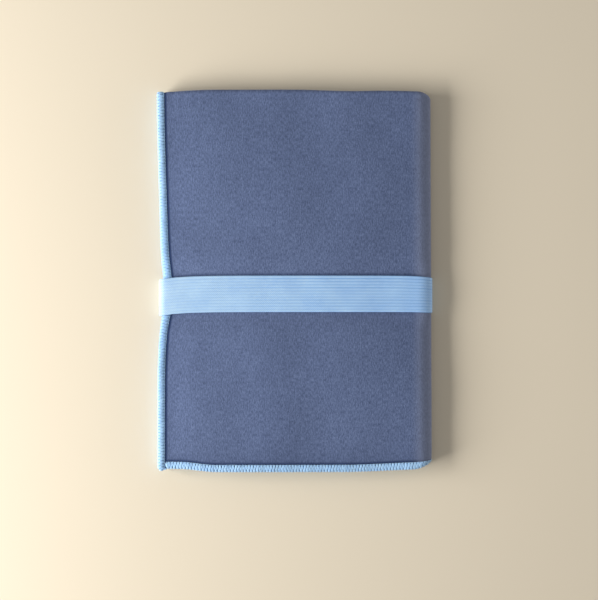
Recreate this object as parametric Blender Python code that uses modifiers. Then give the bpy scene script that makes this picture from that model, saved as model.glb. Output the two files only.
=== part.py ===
"""A quick dry towel, folded in four and held shut by an elastic band.

The towel is modelled flat, as it is cut and sewn: a rectangle of microfibre cloth, an overlocked
seam along each side and a care label. Each flat piece is then folded twice by one function, first
across the towel's length and then across its width. The band is a strap of woven elastic whose two
ends overlap under the towel and are sewn together. It slides off along the folded towel.

Metres, +Z up. +X points to the side with the second fold, +Y to the end with the first fold. The
origin is under the middle of the bundle, on the surface that it lies on.
"""

import math

import bmesh
import bpy
from mathutils import Vector

# The towel as it is cut and sewn.
TOWEL_WIDTH = 0.390
TOWEL_LENGTH = 0.550
CLOTH_THICKNESS = 0.0009

# An overlocked seam: threads that wrap the raw edge, and a needle thread beside them.
SEAM_WIDTH = 0.0050
SEAM_THICKNESS = 0.0021
SEAM_THREADS = 0.00035
SEAM_BACK = 0.0005
NEEDLE_THREAD_RADIUS = 0.00018
PIECE_GAP = 0.0003

# The care label: a tape folded double and caught in the seam.
LABEL_LENGTH = 0.034
LABEL_WIDTH = 0.020
LABEL_PLY = 0.00016
LABEL_HALF_SPREAD = 0.00016
LABEL_FROM_FOLD = 0.100

# The folds. The shifts leave the front layers a little longer than the rear ones.
LAYER_PITCH = 0.0024
FIRST_FOLD_SHIFT = 0.0005
SECOND_FOLD_SHIFT = 0.0010
FOLD_STEPS = 10

# The elastic band and the seam that closes it.
BAND_WIDTH = 0.0265
BAND_THICKNESS = 0.0009
BAND_FROM_MIDDLE = -0.0089
BAND_LAP = 0.020
BAND_LAP_GAP = 0.0002
BAND_LEFT_CORNER = 0.0020
BAND_STEP_LENGTH = 0.005
BAND_THREAD_RADIUS = 0.00014
BAND_THREAD_GAP = 0.00005
BAND_STITCH_PITCH = 0.0016
BAND_STITCH_REACH = 0.0010
BAND_STITCH_INSET = 0.003
ARC_STEPS = 8

# What follows from them.
SEAM_REACH = SEAM_WIDTH + 2 * PIECE_GAP + 2 * NEEDLE_THREAD_RADIUS
FIRST_RADIUS = LAYER_PITCH / 2
SECOND_RADIUS = LAYER_PITCH
STACK_HALF = SECOND_RADIUS + FIRST_RADIUS + SEAM_THICKNESS / 2
LAP_TOP = 2 * BAND_THICKNESS + BAND_LAP_GAP
STITCH_TOP = LAP_TOP + BAND_THREAD_GAP + 2 * BAND_THREAD_RADIUS
LEFT_REACH = TOWEL_WIDTH / 2 + SECOND_FOLD_SHIFT - math.pi * SECOND_RADIUS / 2
FRONT_REACH = TOWEL_LENGTH / 2 + FIRST_FOLD_SHIFT - math.pi * FIRST_RADIUS / 2
BACK_REACH = FIRST_RADIUS + SEAM_THICKNESS / 2
BUNDLE = Vector((
    (LEFT_REACH - STACK_HALF) / 2,
    (FRONT_REACH - BACK_REACH) / 2,
    STITCH_TOP + PIECE_GAP + STACK_HALF,
))

CLOTH_BLUE = (0.118, 0.155, 0.262)
SEAM_BLUE = (0.40, 0.63, 0.86)
NEEDLE_THREAD_BLUE = (0.46, 0.68, 0.90)
BAND_BLUE = (0.36, 0.55, 0.80)
BAND_THREAD_BLUE = (0.44, 0.66, 0.89)
LABEL_WHITE = (0.80, 0.80, 0.78)


def clear_scene():
    for old in list(bpy.data.objects):
        bpy.data.objects.remove(old, do_unlink=True)


def make_material(name, colour, roughness):
    material = bpy.data.materials.new(name)
    material.use_nodes = True
    shader = material.node_tree.nodes["Principled BSDF"]
    shader.inputs["Base Color"].default_value = (*colour, 1.0)
    shader.inputs["Roughness"].default_value = roughness
    shader.inputs["Metallic"].default_value = 0.0
    return material


def add_object(name, data, collection, material):
    new = bpy.data.objects.new(name, data)
    collection.objects.link(new)
    data.materials.clear()
    data.materials.append(material)
    return new


def add_curve(name, points, collection, material, dimensions="3D", closed=False):
    """A curve of straight runs through the points, each of two or three numbers."""
    data = bpy.data.curves.new(name, "CURVE")
    data.dimensions = dimensions
    spline = data.splines.new("POLY")
    spline.points.add(len(points) - 1)
    for target, point in zip(spline.points, points):
        target.co = (*point, 0.0, 1.0) if len(point) == 2 else (*point, 1.0)
    spline.use_cyclic_u = closed
    return add_object(name, data, collection, material)


def curve_to_mesh(curve_object):
    """Replaces a curve object with a closed mesh object of the same shape, name and place."""
    bpy.context.view_layer.update()
    name, place = curve_object.name, curve_object.matrix_world.copy()
    depsgraph = bpy.context.evaluated_depsgraph_get()
    mesh = bpy.data.meshes.new_from_object(curve_object.evaluated_get(depsgraph))
    collection, material = curve_object.users_collection[0], curve_object.data.materials[0]
    bpy.data.objects.remove(curve_object, do_unlink=True)
    shape = bmesh.new()
    shape.from_mesh(mesh)
    bmesh.ops.remove_doubles(shape, verts=shape.verts, dist=1e-6)
    bmesh.ops.recalc_face_normals(shape, faces=shape.faces)
    shape.to_mesh(mesh)
    shape.free()
    made = add_object(name, mesh, collection, material)
    made.matrix_world = place
    return made


def shade(made, angle=math.radians(35)):
    made.data.shade_smooth()
    made.data.set_sharp_from_angle(angle=angle)


def wrap(along, height, radius):
    """Bends a flat line half way round an axis, and gives where a point of it lands.

    along is the distance from the fold line, height is how far the point is off the line on the
    outer side. Past the bend the line runs straight back, on the far side of the axis.
    """
    quarter = math.pi * radius / 2
    if abs(along) < quarter:
        angle = along / radius
        return (radius + height) * math.cos(angle), (radius + height) * math.sin(angle)
    return quarter - abs(along), math.copysign(radius + height, along)


def folded(flat):
    """Where a point of the flat towel is once the towel is folded in four."""
    y, height = wrap(flat.y, flat.z, FIRST_RADIUS)
    x, z = wrap(flat.x, height, SECOND_RADIUS)
    return Vector((x, y, z))


def fold(made):
    """Cuts a flat piece into strips where the folds cross it, and folds it."""
    bpy.context.view_layer.update()
    shape = bmesh.new()
    shape.from_mesh(made.data)
    shape.transform(made.matrix_world)
    for normal, radius in ((Vector((0, 1, 0)), FIRST_RADIUS), (Vector((1, 0, 0)), SECOND_RADIUS)):
        quarter = math.pi * radius / 2
        for step in range(FOLD_STEPS + 1):
            place = normal * (2 * quarter * step / FOLD_STEPS - quarter)
            everything = shape.verts[:] + shape.edges[:] + shape.faces[:]
            bmesh.ops.bisect_plane(shape, geom=everything, plane_co=place, plane_no=normal, dist=1e-7)
    for vertex in shape.verts:
        vertex.co = folded(vertex.co)
    shape.to_mesh(made.data)
    shape.free()
    made.location = BUNDLE
    made.rotation_euler = (0, 0, 0)
    made.scale = (1, 1, 1)
    shade(made)
    return made


def make_cloth(collection, material):
    """The cloth itself. Its raw edges lie inside the seams."""
    hidden = SEAM_BACK + PIECE_GAP
    bpy.ops.mesh.primitive_cube_add(size=1)
    cloth = bpy.context.object
    cloth.name = "towel_cloth"
    cloth.data.name = "towel_cloth"
    cloth.users_collection[0].objects.unlink(cloth)
    collection.objects.link(cloth)
    cloth.data.materials.append(material)
    cloth.location = (SECOND_FOLD_SHIFT, FIRST_FOLD_SHIFT, 0)
    cloth.scale = (TOWEL_WIDTH - 2 * hidden, TOWEL_LENGTH - 2 * hidden, CLOTH_THICKNESS)
    return fold(cloth)


def seam_outline():
    """The section of the wrapping threads: a channel with a round back, open towards the towel."""
    half = SEAM_THICKNESS / 2
    slot = half - SEAM_THREADS
    angles = [math.pi / 2 - math.pi * step / ARC_STEPS for step in range(ARC_STEPS + 1)]
    back = [(half * math.cos(angle) - half, half * math.sin(angle)) for angle in angles]
    tips = [(-SEAM_WIDTH, -half), (-SEAM_WIDTH, -slot)]
    slot_end = [(-SEAM_BACK, -slot), (-SEAM_BACK, slot)]
    return back + tips + slot_end + [(-SEAM_WIDTH, slot), (-SEAM_WIDTH, half)]


def make_seam(side, turn, reach, length, collection, thread, needle_thread):
    """The wrapping threads and the needle thread along one side of the flat towel.

    turn is the angle from +X to the side's outward direction, reach the distance out to it.
    """
    middle = Vector((SECOND_FOLD_SHIFT, FIRST_FOLD_SHIFT, 0))
    outward = Vector((math.cos(turn), math.sin(turn), 0))
    wrapping = add_curve(f"{side}_overlock_threads", seam_outline(), collection, thread, "2D", True)
    wrapping.data.fill_mode = "BOTH"
    wrapping.data.extrude = length / 2
    wrapping.location = middle + outward * reach
    wrapping.rotation_euler = (math.pi / 2, 0, turn)
    fold(curve_to_mesh(wrapping))

    off_edge = reach - SEAM_WIDTH - PIECE_GAP - NEEDLE_THREAD_RADIUS
    height = CLOTH_THICKNESS / 2 + PIECE_GAP / 2 + NEEDLE_THREAD_RADIUS
    ends = [(0, -length / 2, 0), (0, length / 2, 0)]
    needle = add_curve(f"{side}_needle_thread", ends, collection, needle_thread)
    needle.data.bevel_depth = NEEDLE_THREAD_RADIUS
    needle.data.bevel_resolution = 1
    needle.data.use_fill_caps = True
    needle.location = middle + outward * off_edge + Vector((0, 0, height))
    needle.rotation_euler = (0, 0, turn)
    fold(curve_to_mesh(needle))


def make_label(collection, material):
    """A blank tape folded double. Its loose ends meet the left seam of the second layer."""
    root = TOWEL_WIDTH / 2 + SECOND_FOLD_SHIFT - SEAM_REACH
    straight = LABEL_LENGTH - LABEL_HALF_SPREAD
    turns = [math.pi / 2 + math.pi * step / ARC_STEPS for step in range(ARC_STEPS + 1)]
    bend = [
        (LABEL_HALF_SPREAD * math.cos(turn) - straight, LABEL_HALF_SPREAD * math.sin(turn))
        for turn in turns
    ]
    path = [(0, LABEL_HALF_SPREAD)] + bend + [(0, -LABEL_HALF_SPREAD)]
    tape = add_curve("care_label", path, collection, material, "2D")
    tape.data.fill_mode = "NONE"
    tape.data.extrude = LABEL_WIDTH / 2
    height = CLOTH_THICKNESS / 2 + PIECE_GAP + LABEL_HALF_SPREAD + LABEL_PLY / 2
    tape.location = (root, -LABEL_FROM_FOLD, height)
    tape.rotation_euler = (math.pi / 2, 0, 0)
    label = curve_to_mesh(tape)
    thicken(label, LABEL_PLY)
    return fold(label)


def thicken(made, thickness):
    """Gives an open surface an even wall, half on each side."""
    wall = made.modifiers.new("wall", "SOLIDIFY")
    wall.thickness = thickness
    wall.offset = 0
    wall.use_even_offset = True
    bpy.context.view_layer.update()
    depsgraph = bpy.context.evaluated_depsgraph_get()
    thick = bpy.data.meshes.new_from_object(made.evaluated_get(depsgraph))
    made.modifiers.clear()
    made.data = thick


def arc(centre_x, centre_z, radius, start, end):
    for step in range(ARC_STEPS + 1):
        angle = math.radians(start + (end - start) * step / ARC_STEPS)
        yield centre_x + radius * math.cos(angle), centre_z + radius * math.sin(angle)


def band_path():
    """The middle of the band's thickness in x and z, from the lower end of its lap to the upper."""
    half = BAND_THICKNESS / 2
    right = BUNDLE.x + STACK_HALF + PIECE_GAP + half
    left = BUNDLE.x - LEFT_REACH - PIECE_GAP - half
    top = BUNDLE.z + STACK_HALF + PIECE_GAP + half
    right_corner = STACK_HALF + PIECE_GAP + half
    left_corner = BAND_LEFT_CORNER
    points = [(-BAND_LAP / 2, half)]
    points += arc(right - right_corner, half + right_corner, right_corner, -90, 0)
    points += arc(right - right_corner, top - right_corner, right_corner, 0, 90)
    points += arc(left + left_corner, top - left_corner, left_corner, 90, 180)
    points += arc(left + left_corner, half + left_corner, left_corner, 180, 270)
    rise = BAND_THICKNESS + BAND_LAP_GAP
    step_end = -BAND_LAP / 2 - BAND_THICKNESS
    for step in range(ARC_STEPS + 1):
        share = step / ARC_STEPS
        x = step_end - BAND_STEP_LENGTH * (1 - share)
        points.append((x, half + rise * (1 - math.cos(math.pi * share)) / 2))
    return points + [(BAND_LAP / 2, half + rise)]


def make_band(collection, material):
    strap = add_curve("elastic_band", band_path(), collection, material, "2D")
    strap.data.fill_mode = "NONE"
    strap.data.extrude = BAND_WIDTH / 2
    strap.location = (0, BAND_FROM_MIDDLE, 0)
    strap.rotation_euler = (math.pi / 2, 0, 0)
    band = curve_to_mesh(strap)
    thicken(band, BAND_THICKNESS)
    shade(band)
    return band


def make_band_stitches(name, x, collection, material):
    """One zigzag row of thread across the lap, on the side that faces the towel."""
    room = BAND_WIDTH / 2 - BAND_STITCH_PITCH
    count = int(2 * room / BAND_STITCH_PITCH)
    pitch = 2 * room / count
    path = [
        (BAND_STITCH_REACH if step % 2 else -BAND_STITCH_REACH, step * pitch - room, 0)
        for step in range(count + 1)
    ]
    row = add_curve(name, path, collection, material)
    row.data.bevel_depth = BAND_THREAD_RADIUS
    row.data.bevel_resolution = 1
    row.data.use_fill_caps = True
    row.location = (x, BAND_FROM_MIDDLE, LAP_TOP + BAND_THREAD_GAP + BAND_THREAD_RADIUS)
    stitches = curve_to_mesh(row)
    shade(stitches)
    return stitches


def gather(name, place, pieces):
    """Parents the pieces to an empty, so that they move as one body."""
    body = bpy.data.objects.new(name, None)
    pieces[0].users_collection[0].objects.link(body)
    body.location = place
    bpy.context.view_layer.update()
    for piece in pieces:
        piece.parent = body
        piece.matrix_parent_inverse = body.matrix_world.inverted()
    return body


def build():
    clear_scene()
    collection = bpy.data.collections.new("quick_dry_towel")
    bpy.context.scene.collection.children.link(collection)
    cloth_blue = make_material("microfibre_cloth", CLOTH_BLUE, 0.95)
    seam_blue = make_material("overlock_thread", SEAM_BLUE, 0.75)
    needle_blue = make_material("needle_thread", NEEDLE_THREAD_BLUE, 0.65)
    band_blue = make_material("woven_elastic", BAND_BLUE, 0.80)
    band_thread_blue = make_material("band_thread", BAND_THREAD_BLUE, 0.65)
    label_white = make_material("label_tape", LABEL_WHITE, 0.50)

    make_cloth(collection, cloth_blue)
    long_side = TOWEL_LENGTH
    short_side = TOWEL_WIDTH - 2 * SEAM_REACH
    sides = {
        "front_side": (0, TOWEL_WIDTH / 2, long_side),
        "rear_side": (math.pi, TOWEL_WIDTH / 2, long_side),
        "outer_end": (math.pi / 2, TOWEL_LENGTH / 2, short_side),
        "inner_end": (-math.pi / 2, TOWEL_LENGTH / 2, short_side),
    }
    for side, (turn, reach, length) in sides.items():
        make_seam(side, turn, reach, length, collection, seam_blue, needle_blue)
    make_label(collection, label_white)
    gather("towel", BUNDLE, list(collection.objects))

    band = make_band(collection, band_blue)
    row_x = BAND_LAP / 2 - BAND_STITCH_INSET
    rows = [
        make_band_stitches("band_stitches_left", -row_x, collection, band_thread_blue),
        make_band_stitches("band_stitches_right", row_x, collection, band_thread_blue),
    ]
    gather("band", (0, BAND_FROM_MIDDLE, 0), [band, *rows])


build()
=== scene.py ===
import math

import bpy
import numpy as np
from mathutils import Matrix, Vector


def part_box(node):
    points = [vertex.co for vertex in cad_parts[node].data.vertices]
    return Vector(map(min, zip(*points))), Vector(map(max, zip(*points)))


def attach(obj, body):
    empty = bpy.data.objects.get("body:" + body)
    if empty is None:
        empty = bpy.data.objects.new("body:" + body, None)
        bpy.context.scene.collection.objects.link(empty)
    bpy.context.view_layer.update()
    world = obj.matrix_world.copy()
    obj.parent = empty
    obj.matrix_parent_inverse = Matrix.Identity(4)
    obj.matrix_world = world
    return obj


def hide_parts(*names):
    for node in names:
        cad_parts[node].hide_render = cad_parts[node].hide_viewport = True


mm = 0.001

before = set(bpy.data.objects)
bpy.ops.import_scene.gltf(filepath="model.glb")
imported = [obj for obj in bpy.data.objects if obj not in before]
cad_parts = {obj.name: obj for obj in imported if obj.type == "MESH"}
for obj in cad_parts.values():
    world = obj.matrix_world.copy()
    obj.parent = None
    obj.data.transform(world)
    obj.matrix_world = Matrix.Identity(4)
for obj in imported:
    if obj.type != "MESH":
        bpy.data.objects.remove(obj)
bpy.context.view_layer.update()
print("frame loaded")

# The cloth, its seams and its label are worked out flat first, in u across the towel, v along it and
# w off the cloth, and then folded. The fold lines are u = 0 and v = 0, and w > 0 ends up outside.

bandLow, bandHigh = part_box("elastic_band")
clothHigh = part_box("towel_cloth")[1]
bandMiddle = (bandLow.y + bandHigh.y) / 2

towel = {
    "width": 390 * mm,
    "length": 550 * mm,
    "crossShift": 1.0 * mm,  # how far the second fold is off the towel's middle
    "endShift": 0.5 * mm,  # and the first
    "sideInset": 0.1 * mm,  # room inside the frame's box
    "endInset": 0.2 * mm,
    "thickness": 0.9 * mm,
    "rawThickness": 0.6 * mm,  # where the seam squeezes it
    "hiddenEdge": 0.8 * mm,  # the raw edge lies this far inside the seam
    "firstFold": 1.25 * mm,  # radius
    "foldDepth": 7 * mm,  # how far back the second fold starts to round off
    "foldPower": 2.4,
    "foldStep": 0.05 * mm,
    "halfReach": 205 * mm,  # a little more than half the width
    "loft": 3.65 * mm,  # half the distance between the two pairs of layers
    "foldLoft": 3.85 * mm,  # the same at the second fold
    "openLoft": 2.3 * mm,  # and along the open side
    "loftAt": 104 * mm,  # where the stack is thickest, from the fold
    "stackDepth": 197 * mm,
    "shoulder": 0.50 * mm,  # the cloth swells up in from the side seams
    "shoulderIn": (5 * mm, 27 * mm),
    "shoulderBack": (25 * mm, 110 * mm),
    "lowShoulder": 0.40 * mm,  # and more towards the open end
    "lowShoulderAt": (100 * mm, 255 * mm),
    "pairLoft": 0.2 * mm,  # the two layers of a pair part this much more inside
    "pairFirst": (3 * mm, 40 * mm),  # from the first fold, the second and the seams
    "pairSecond": (5 * mm, 40 * mm),
    "pairSeam": (5 * mm, 45 * mm),
    "puff": 0.50 * mm,  # how far the nap stands up beside a seam
    "puffReach": 2.2 * mm,
    "pucker": 0.14 * mm,  # small waves along the seams
    "puckerReach": 9 * mm,
    "puckerLengths": (15 * mm, 8 * mm),
}

seam = {
    "width": 5.0 * mm,
    "pitch": 2.25 * mm,
    "bedHalf": 0.68 * mm,
    "bedWidth": 4.45 * mm,  # the strands reach a little further in
    "bedDeep": 0.9,  # painted shade: how dark the bed is drawn, as it lies in the shade under and between the strands
    "slotHalf": 0.37 * mm,
    "slotDepth": 0.6 * mm,
    "squeeze": 0.55,  # the stitches squeeze the cloth beside them
    "squeezeReach": 0.9 * mm,
    "strandHalfWidth": 0.58 * mm,
    "strandHalfDepth": 0.24 * mm,
    "strandStart": 0.05,  # this and the next three are in pitches
    "slant": 0.40,  # how far a strand leans on its way out
    "parting": 0.10,  # half the gap between two strands where they meet
    "unevenPlace": 0.03,
    "unevenWidth": 0.06,
    "mottleShift": 3.7,  # each strand takes its mottle from another place
    "needleFrom": 4.85 * mm,  # needle stitches, from the towel's edge
    "needleRadius": 0.22 * mm,
    "needleWander": 0.04 * mm,
    "stopShort": 5.5 * mm,  # the end seams stop where the side seams start
    "tail": 1.5 * mm,  # the side seams run off the corner
    "taper": 2.6 * mm,  # and close up at their ends
    "shortTaper": 0.7 * mm,  # the end seams butt against them
    "taperIn": 0.5,  # how far a seam narrows and thins there
    "taperThin": 0.45,
    "ringGap": 2.0 * mm,
    "endRings": (3 * mm, 0.45 * mm),  # half width of a closer zone, and the gap in it
    "foldRings": (16 * mm, 1.0 * mm),
}

band = {
    "width": 26.5 * mm,
    "thickness": 0.9 * mm,
    "ribs": 12,
    "ribLines": 10,  # mesh lines to a rib
    "ribDepth": 0.08 * mm,
    "ribSharp": 8,
    "ringGap": 1.5 * mm,
    "edgeRound": (0.965, 1.0),  # shares of half the width
    "edgeThin": 0.55,
    "clearance": 0.12 * mm,
    "lap": 20 * mm,
    "lapGap": 0.12 * mm,
    "lapRoom": (13 * mm, 32 * mm),
    "lapSlack": 0.3 * mm,
    "joggle": 6 * mm,
    "stepClear": 1.2 * mm,
    "floor": 0.22 * mm,  # room for the stitches that show underneath
    "topOpen": 8.6 * mm,  # underside of the top run at its left end
    "topMiddle": 12.3 * mm,
    "topFold": 9.9 * mm,
    "riseFrom": -98 * mm,
    "riseReach": 88 * mm,
    "fall": (10 * mm, 110 * mm),
    "leftIn": 0.1 * mm,  # the left bend lies this far inside the frame's box
    "rightOut": 0.2 * mm,  # and the right one stands this far out of it
    "leftRound": 4.2 * mm,
    "rightRound": 12.5 * mm,
    "rightMiddle": 0.45,  # how high the right bend turns back
    "bendPower": 2.3,
    "bendSteps": 14,
    "drop": 3.1 * mm,  # how far the left end is skewed
    "dropReach": 15 * mm,
    "foldDrop": 1.2 * mm,  # and the right end
    "foldDropReach": 9 * mm,
    "foldNarrow": 0.045,
    "pressIn": 1 * mm,  # the pressed hollow starts this far inside the band's edge
    "pressFade": 17 * mm,  # and reaches this far beyond it
    "threadShadeNearBand": 0.55,  # painted shade: how much darker the seam threads are drawn beside it
    "threadShadeReach": 90 * mm,
}


def smooth(low, high, value):
    share = np.clip((value - low) / (high - low), 0, 1)
    return share * share * (3 - 2 * share)


def bell(value, reach):
    return np.exp(-(value / reach) ** 2)


def swell(x, y, z, longest, shortest, seed):
    # a gentle random surface, from about -1 to 1, that changes slowly from layer to layer
    waves, layerLength = 14, 24 * mm
    pick = np.random.default_rng(seed)
    total = np.zeros_like(x)
    for _ in range(waves):
        length = pick.uniform(shortest, longest)
        heading = pick.uniform(0, 2 * math.pi)
        step = 2 * math.pi / length
        phase = pick.uniform(0, 2 * math.pi)
        lift = pick.uniform(-1, 1) * 2 * math.pi / layerLength
        total += np.sin(step * (math.cos(heading) * x + math.sin(heading) * y) + lift * z + phase)
    return total / math.sqrt(waves)


def foldLine():
    # the line that the middle of the two halves follows round the second fold and back
    turn = np.linspace(0, math.pi / 2, 1500)
    power = 2 / towel["foldPower"]
    back = towel["foldDepth"] * (1 - np.cos(turn) ** power)
    height = towel["foldLoft"] * np.sin(turn) ** power
    far = np.linspace(towel["foldDepth"], towel["halfReach"], 1200)[1:]
    back = np.concatenate([back, far])
    height = np.concatenate([height, loftAt(far)])
    arc = np.concatenate([[0], np.cumsum(np.hypot(np.diff(back), np.diff(height)))])
    even = np.arange(0, arc[-1], towel["foldStep"])
    back, height = np.interp(even, arc, back), np.interp(even, arc, height)
    outX, outZ = np.gradient(height, even), np.gradient(back, even)
    size = np.hypot(outX, outZ)
    return even, -back, height, outX / size, outZ / size


def loftAt(back):
    out = np.clip((back - towel["loftAt"]) / (towel["stackDepth"] - towel["loftAt"]), 0, 1)
    near = smooth(towel["loftAt"], towel["foldDepth"], back)
    loft = towel["loft"] - (towel["loft"] - towel["openLoft"]) * out * out
    return loft - (towel["loft"] - towel["foldLoft"]) * near


foldArc, *foldShape = foldLine()

halfCloth = towel["thickness"] / 2
tipX = clothHigh.x - towel["sideInset"] - towel["firstFold"] - halfCloth
tipY = clothHigh.y - towel["firstFold"] - halfCloth - towel["endInset"]


def edgeDistance(u, v):
    across = towel["width"] / 2 - np.abs(u - towel["crossShift"])
    along = towel["length"] / 2 - np.abs(v - towel["endShift"])
    return across, along


def nap(u, v):
    # how far the cloth stands proud beside its seams, and its puckers
    across, along = edgeDistance(u, v)
    nearest = np.minimum(across, along)
    start = seam["needleFrom"] + seam["needleRadius"]
    stand = towel["puff"] * (1 - np.exp(-np.maximum(nearest - start, 0) / towel["puffReach"]))
    ruffle = swell(u, v, np.zeros_like(u), *towel["puckerLengths"], seed=5)
    high = towel["shoulder"] + towel["lowShoulder"] * smooth(*towel["lowShoulderAt"], np.abs(v))
    swelling = high * smooth(*towel["shoulderIn"], across) * smooth(*towel["shoulderBack"], np.abs(u))
    return stand + swelling + towel["pucker"] * ruffle * bell(nearest, towel["puckerReach"])


def roundFirstFold(u, v, w):
    radius = towel["firstFold"]
    angle = np.clip(v / radius, -math.pi / 2, math.pi / 2)
    past = np.maximum(np.abs(v) - math.pi * radius / 2, 0)
    across, along = edgeDistance(u, v)
    inside = smooth(*towel["pairFirst"], np.abs(v)) * smooth(*towel["pairSecond"], np.abs(u))
    inside = inside * smooth(*towel["pairSeam"], across) * smooth(*towel["pairSeam"], along)
    part = towel["pairLoft"] * inside * np.sign(v)
    return (radius + w) * np.cos(angle) - past, (radius + w) * np.sin(angle) + part


def roundSecondFold(u, height):
    x, z, outX, outZ = (np.interp(np.abs(u), foldArc, values) for values in foldShape)
    x, z = x + outX * height, z + outZ * height
    return x, np.where(u < 0, -z, z)


def underBand(x):
    # the room inside the band, from below to above, for each place across the bundle
    lap = 1 - smooth(*band["lapRoom"], np.abs(x))
    lapHeight = band["thickness"] + band["lapGap"] + band["lapSlack"]
    below = band["floor"] + band["thickness"] + lap * lapHeight
    rising = np.sin(np.clip((x - band["riseFrom"]) / band["riseReach"], 0, 1) * math.pi / 2)
    falling = smooth(*band["fall"], x)
    above = band["topOpen"] + (band["topMiddle"] - band["topOpen"]) * rising
    above = above - (band["topMiddle"] - band["topFold"]) * falling
    return below + band["clearance"], above - band["clearance"]


def bandShift(x):
    # both ends of the loop are skewed towards the open end
    fromLeft, fromRight = x - bandLow.x, bandHigh.x - x
    shift = -band["drop"] * np.exp(-fromLeft / band["dropReach"])
    return shift - band["foldDrop"] * np.exp(-fromRight / band["foldDropReach"])


def fromBand(points):
    # how far each point is up from the band's middle line, and past the band's edge
    up = points[:, 1] - bandMiddle - bandShift(points[:, 0])
    return up, np.abs(up) - band["width"] / 2


lie = {
    "rest": 0.66 * mm,  # clearance to the floor
    "tipSag": 0.5 * mm,  # the fold's own weight brings its tip down
    "foldPress": 0.22,  # the stack is thinner at the fold by this share
    "foldPressFrom": 25 * mm,
    "foldPressReach": 74 * mm,
    "foldPressPower": 2.2,
    "slitClose": 0.75,  # the slit between the pairs closes towards both ends
    "slitOpenEnd": (-55 * mm, -134 * mm),
    "slitFoldEnd": (60 * mm, 134 * mm),
    "slitFoldShare": 0.85,
    "slitBack": 62 * mm,
    "slitBlend": 1.2 * mm,
    "swell": 0.35 * mm,  # long low swells, gone at the floor and under the band
    "swellLengths": (120 * mm, 45 * mm),
    "swellClear": 4 * mm,
    "openSide": (-20 * mm, -98 * mm),
    "openOut": 2.3 * mm,  # how far the open side stands out off the band
    "leastHold": 0.45,  # the band holds the bottom layer by this share of the top one
    "holdLayers": (-0.6, 0.9),
    "pull": 3.4 * mm,  # how far the band draws the open side in
    "pullUp": 85 * mm,
    "pullDown": 34 * mm,
    "pinch": 2.6 * mm,  # and right beside it
    "pinchReach": 21 * mm,
    "foldFlare": 0.4 * mm,
    "foldFlareAt": (60 * mm, 138 * mm),
    "openFlare": 0.3 * mm,
    "openFlareAt": (-25 * mm, -60 * mm),
    "foldSide": (40 * mm, 98 * mm),
    "foldSideOut": 0.55 * mm,
    "foldSideLean": 0.5 * mm,  # the fold side leans out towards the open end
    "endAt": 138 * mm,
    "openEnd": (-60 * mm, -132 * mm),
    "openCorner": 2.2 * mm,  # the open end falls short at its left corner
    "openCornerAt": (-58 * mm, -84 * mm),
    "openSlope": 2.1 * mm,  # and slopes back towards the fold side
    "openSlopeAt": (35 * mm, 100 * mm),
    "tuck": 5.2 * mm,  # where its corner is tucked in
    "tuckFrom": 85 * mm,
    "tuckReach": 14 * mm,
    "tuckAt": (-130.5 * mm, -138 * mm),
    "foldEnd": (100 * mm, 136 * mm),
    "foldEndOut": 1.4 * mm,
    "crown": 0.6 * mm,  # the folded end is fullest here
    "crownAt": 66 * mm,
    "crownReach": 19 * mm,
    "openFall": 1.1 * mm,
    "openFallAt": (-55 * mm, -98 * mm),
    "middleFall": 0.9 * mm,
    "middleFallAt": (0, 45 * mm),
    "tipFall": 4.8 * mm,  # and its corner at the fold is rounded off
    "tipFallFrom": 88 * mm,
    "tipFallReach": 11.5 * mm,
}


def drawnIn(x, y, layer):
    # the band draws the open side in, the top layer the most
    hold = lie["leastHold"] + (1 - lie["leastHold"]) * smooth(*lie["holdLayers"], layer)
    offBand = y - bandMiddle
    pull = lie["pull"] * bell(np.maximum(offBand, 0), lie["pullUp"])
    pull = pull * bell(np.minimum(offBand, 0), lie["pullDown"])
    pull = pull + lie["pinch"] * bell(offBand, lie["pinchReach"])
    flare = lie["foldFlare"] * smooth(*lie["foldFlareAt"], y)
    flare = flare - lie["openFlare"] * smooth(*lie["openFlareAt"], y)
    return smooth(*lie["openSide"], x) * (hold * (pull - flare) - lie["openOut"])


def openEndShift(x, y):
    slope = lie["openCorner"] * smooth(*lie["openCornerAt"], x)
    slope = slope + lie["openSlope"] * smooth(*lie["openSlopeAt"], x)
    tuck = np.clip((x - lie["tuckFrom"]) / lie["tuckReach"], 0, 1) ** 2 * smooth(*lie["tuckAt"], y)
    return smooth(*lie["openEnd"], y) * slope + lie["tuck"] * tuck


def foldEndShift(x, y):
    crown = lie["crown"] * bell(x - lie["crownAt"], lie["crownReach"])
    crown = crown - lie["openFall"] * smooth(*lie["openFallAt"], x)
    crown = crown + lie["foldEndOut"] - lie["middleFall"] * smooth(*lie["middleFallAt"], x)
    tip = np.clip((x - lie["tipFallFrom"]) / lie["tipFallReach"], 0, 1) ** 2
    return smooth(*lie["foldEnd"], y) * (crown - lie["tipFall"] * tip)


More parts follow.
